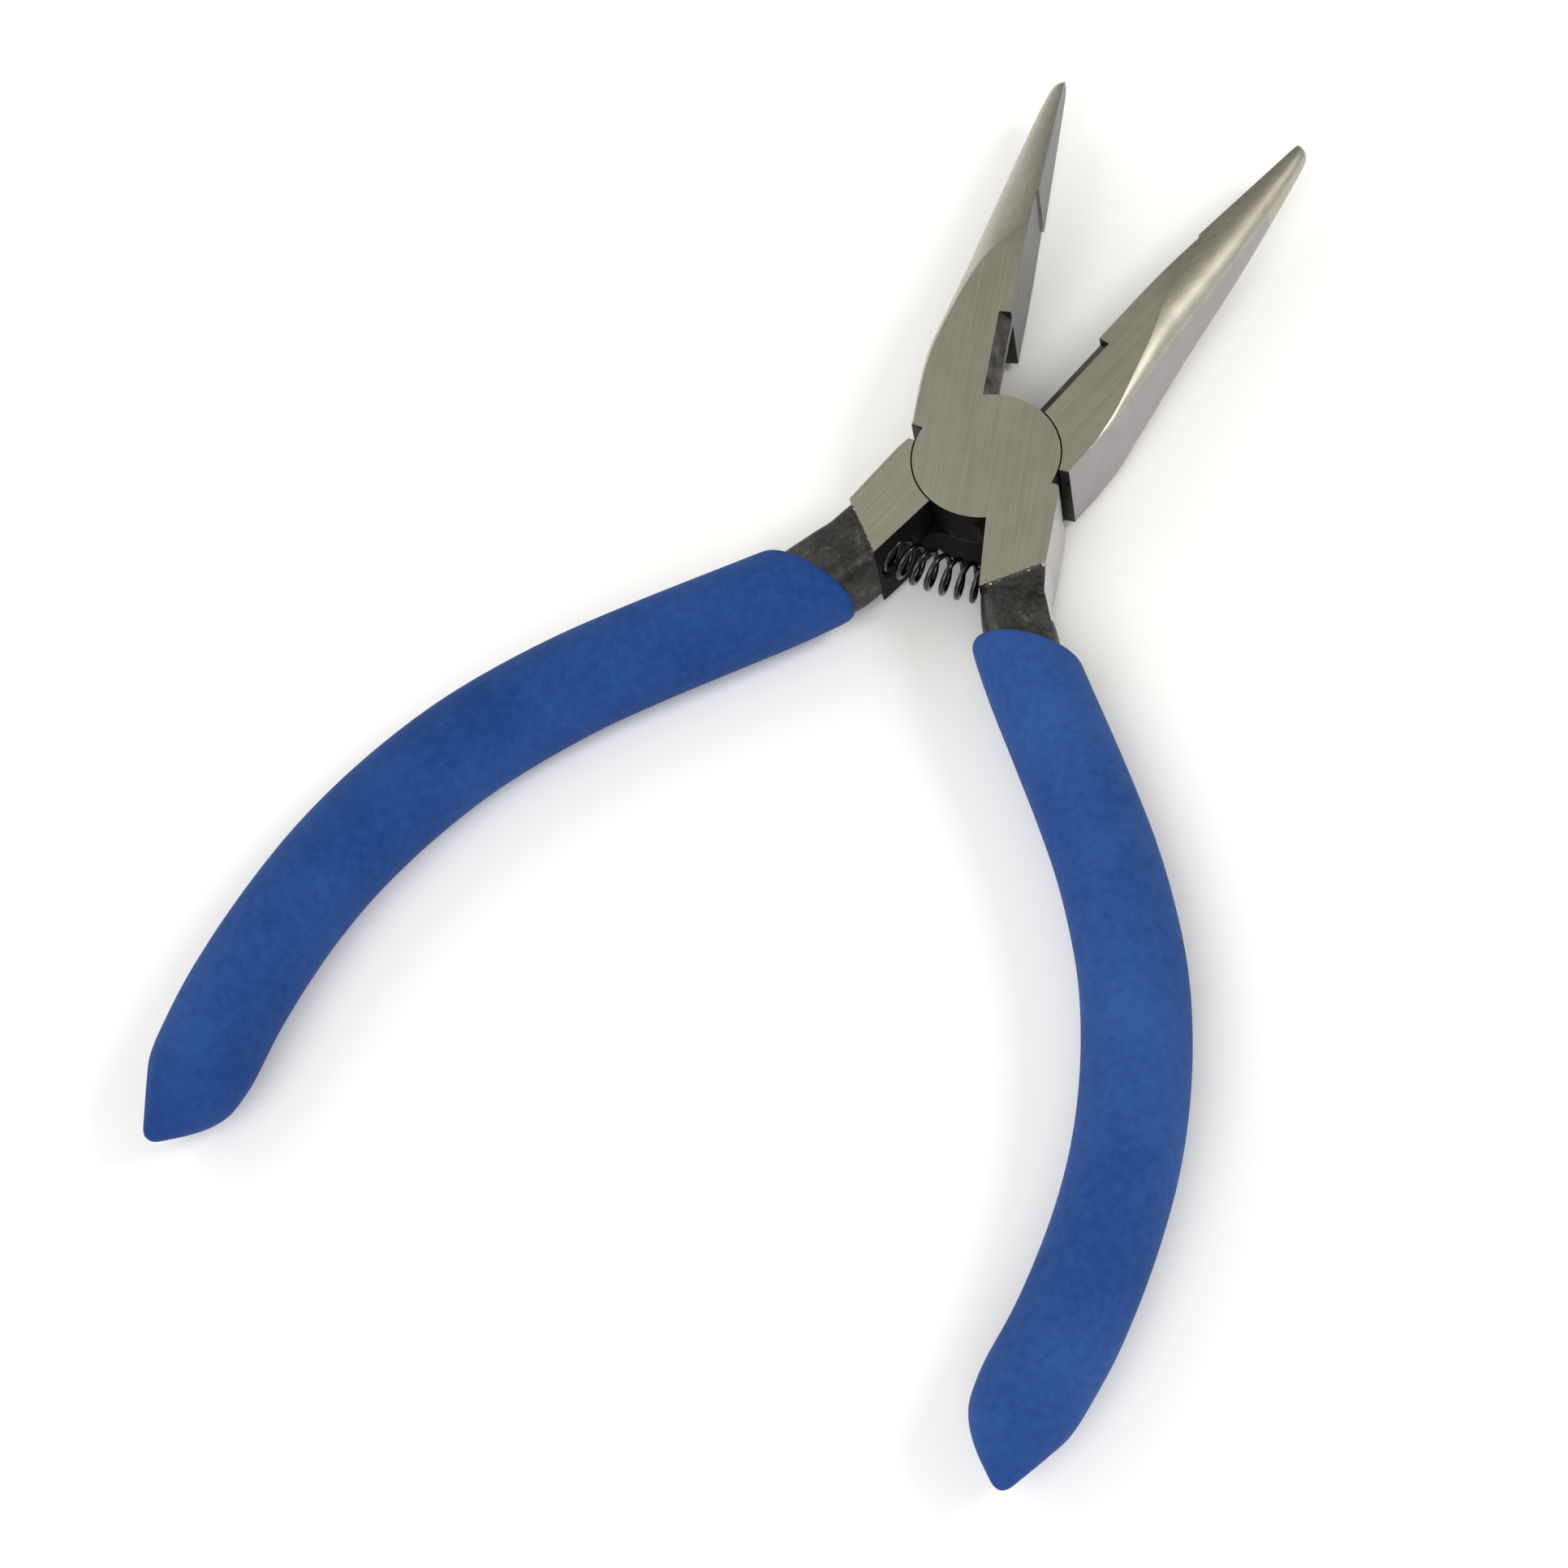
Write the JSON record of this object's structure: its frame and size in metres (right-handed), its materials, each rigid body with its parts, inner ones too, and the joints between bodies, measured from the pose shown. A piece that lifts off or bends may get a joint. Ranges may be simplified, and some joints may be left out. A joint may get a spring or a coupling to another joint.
{
  "type": "mini long-nose pliers",
  "caption": "Small spring-opened long-nose pliers with half-round tapered jaws, a side cutter at their root, a round lap joint and bowed blue sleeve grips, shown open.",
  "frame": {"origin": "middle of the open tool's box, on the surface that its grips lie on", "axes": "+Y along the tool towards the jaw tips, +X to the right seen from the front face, +Z along the joint's axis out of the front face"},
  "size_m": [0.0792, 0.119, 0.0086],
  "materials": {
    "ground_steel": "satin ground faces, black oxide on the forged necks",
    "rivet_steel": "ground flush",
    "black_spring_steel": "glossy black",
    "blue_grip": "matt, fine texture"
  },
  "bodies": {
    "front_side": {"front_half": "ground_steel", "pivot_rivet": "rivet_steel", "right_grip": "blue_grip", "return_spring": "black_spring_steel"},
    "back_side": {"back_half": "ground_steel", "left_grip": "blue_grip"}
  },
  "joints": [
    {"name": "pivot", "type": "hinge", "parent": "front_side", "child": "back_side", "pos_m": [0, 0.019, 0.0043], "axis": [0, 0, 1], "range_deg": [-10, 30], "stiffness_Nm_per_rad": 1.37, "deforming": ["return_spring"]}
  ]
}
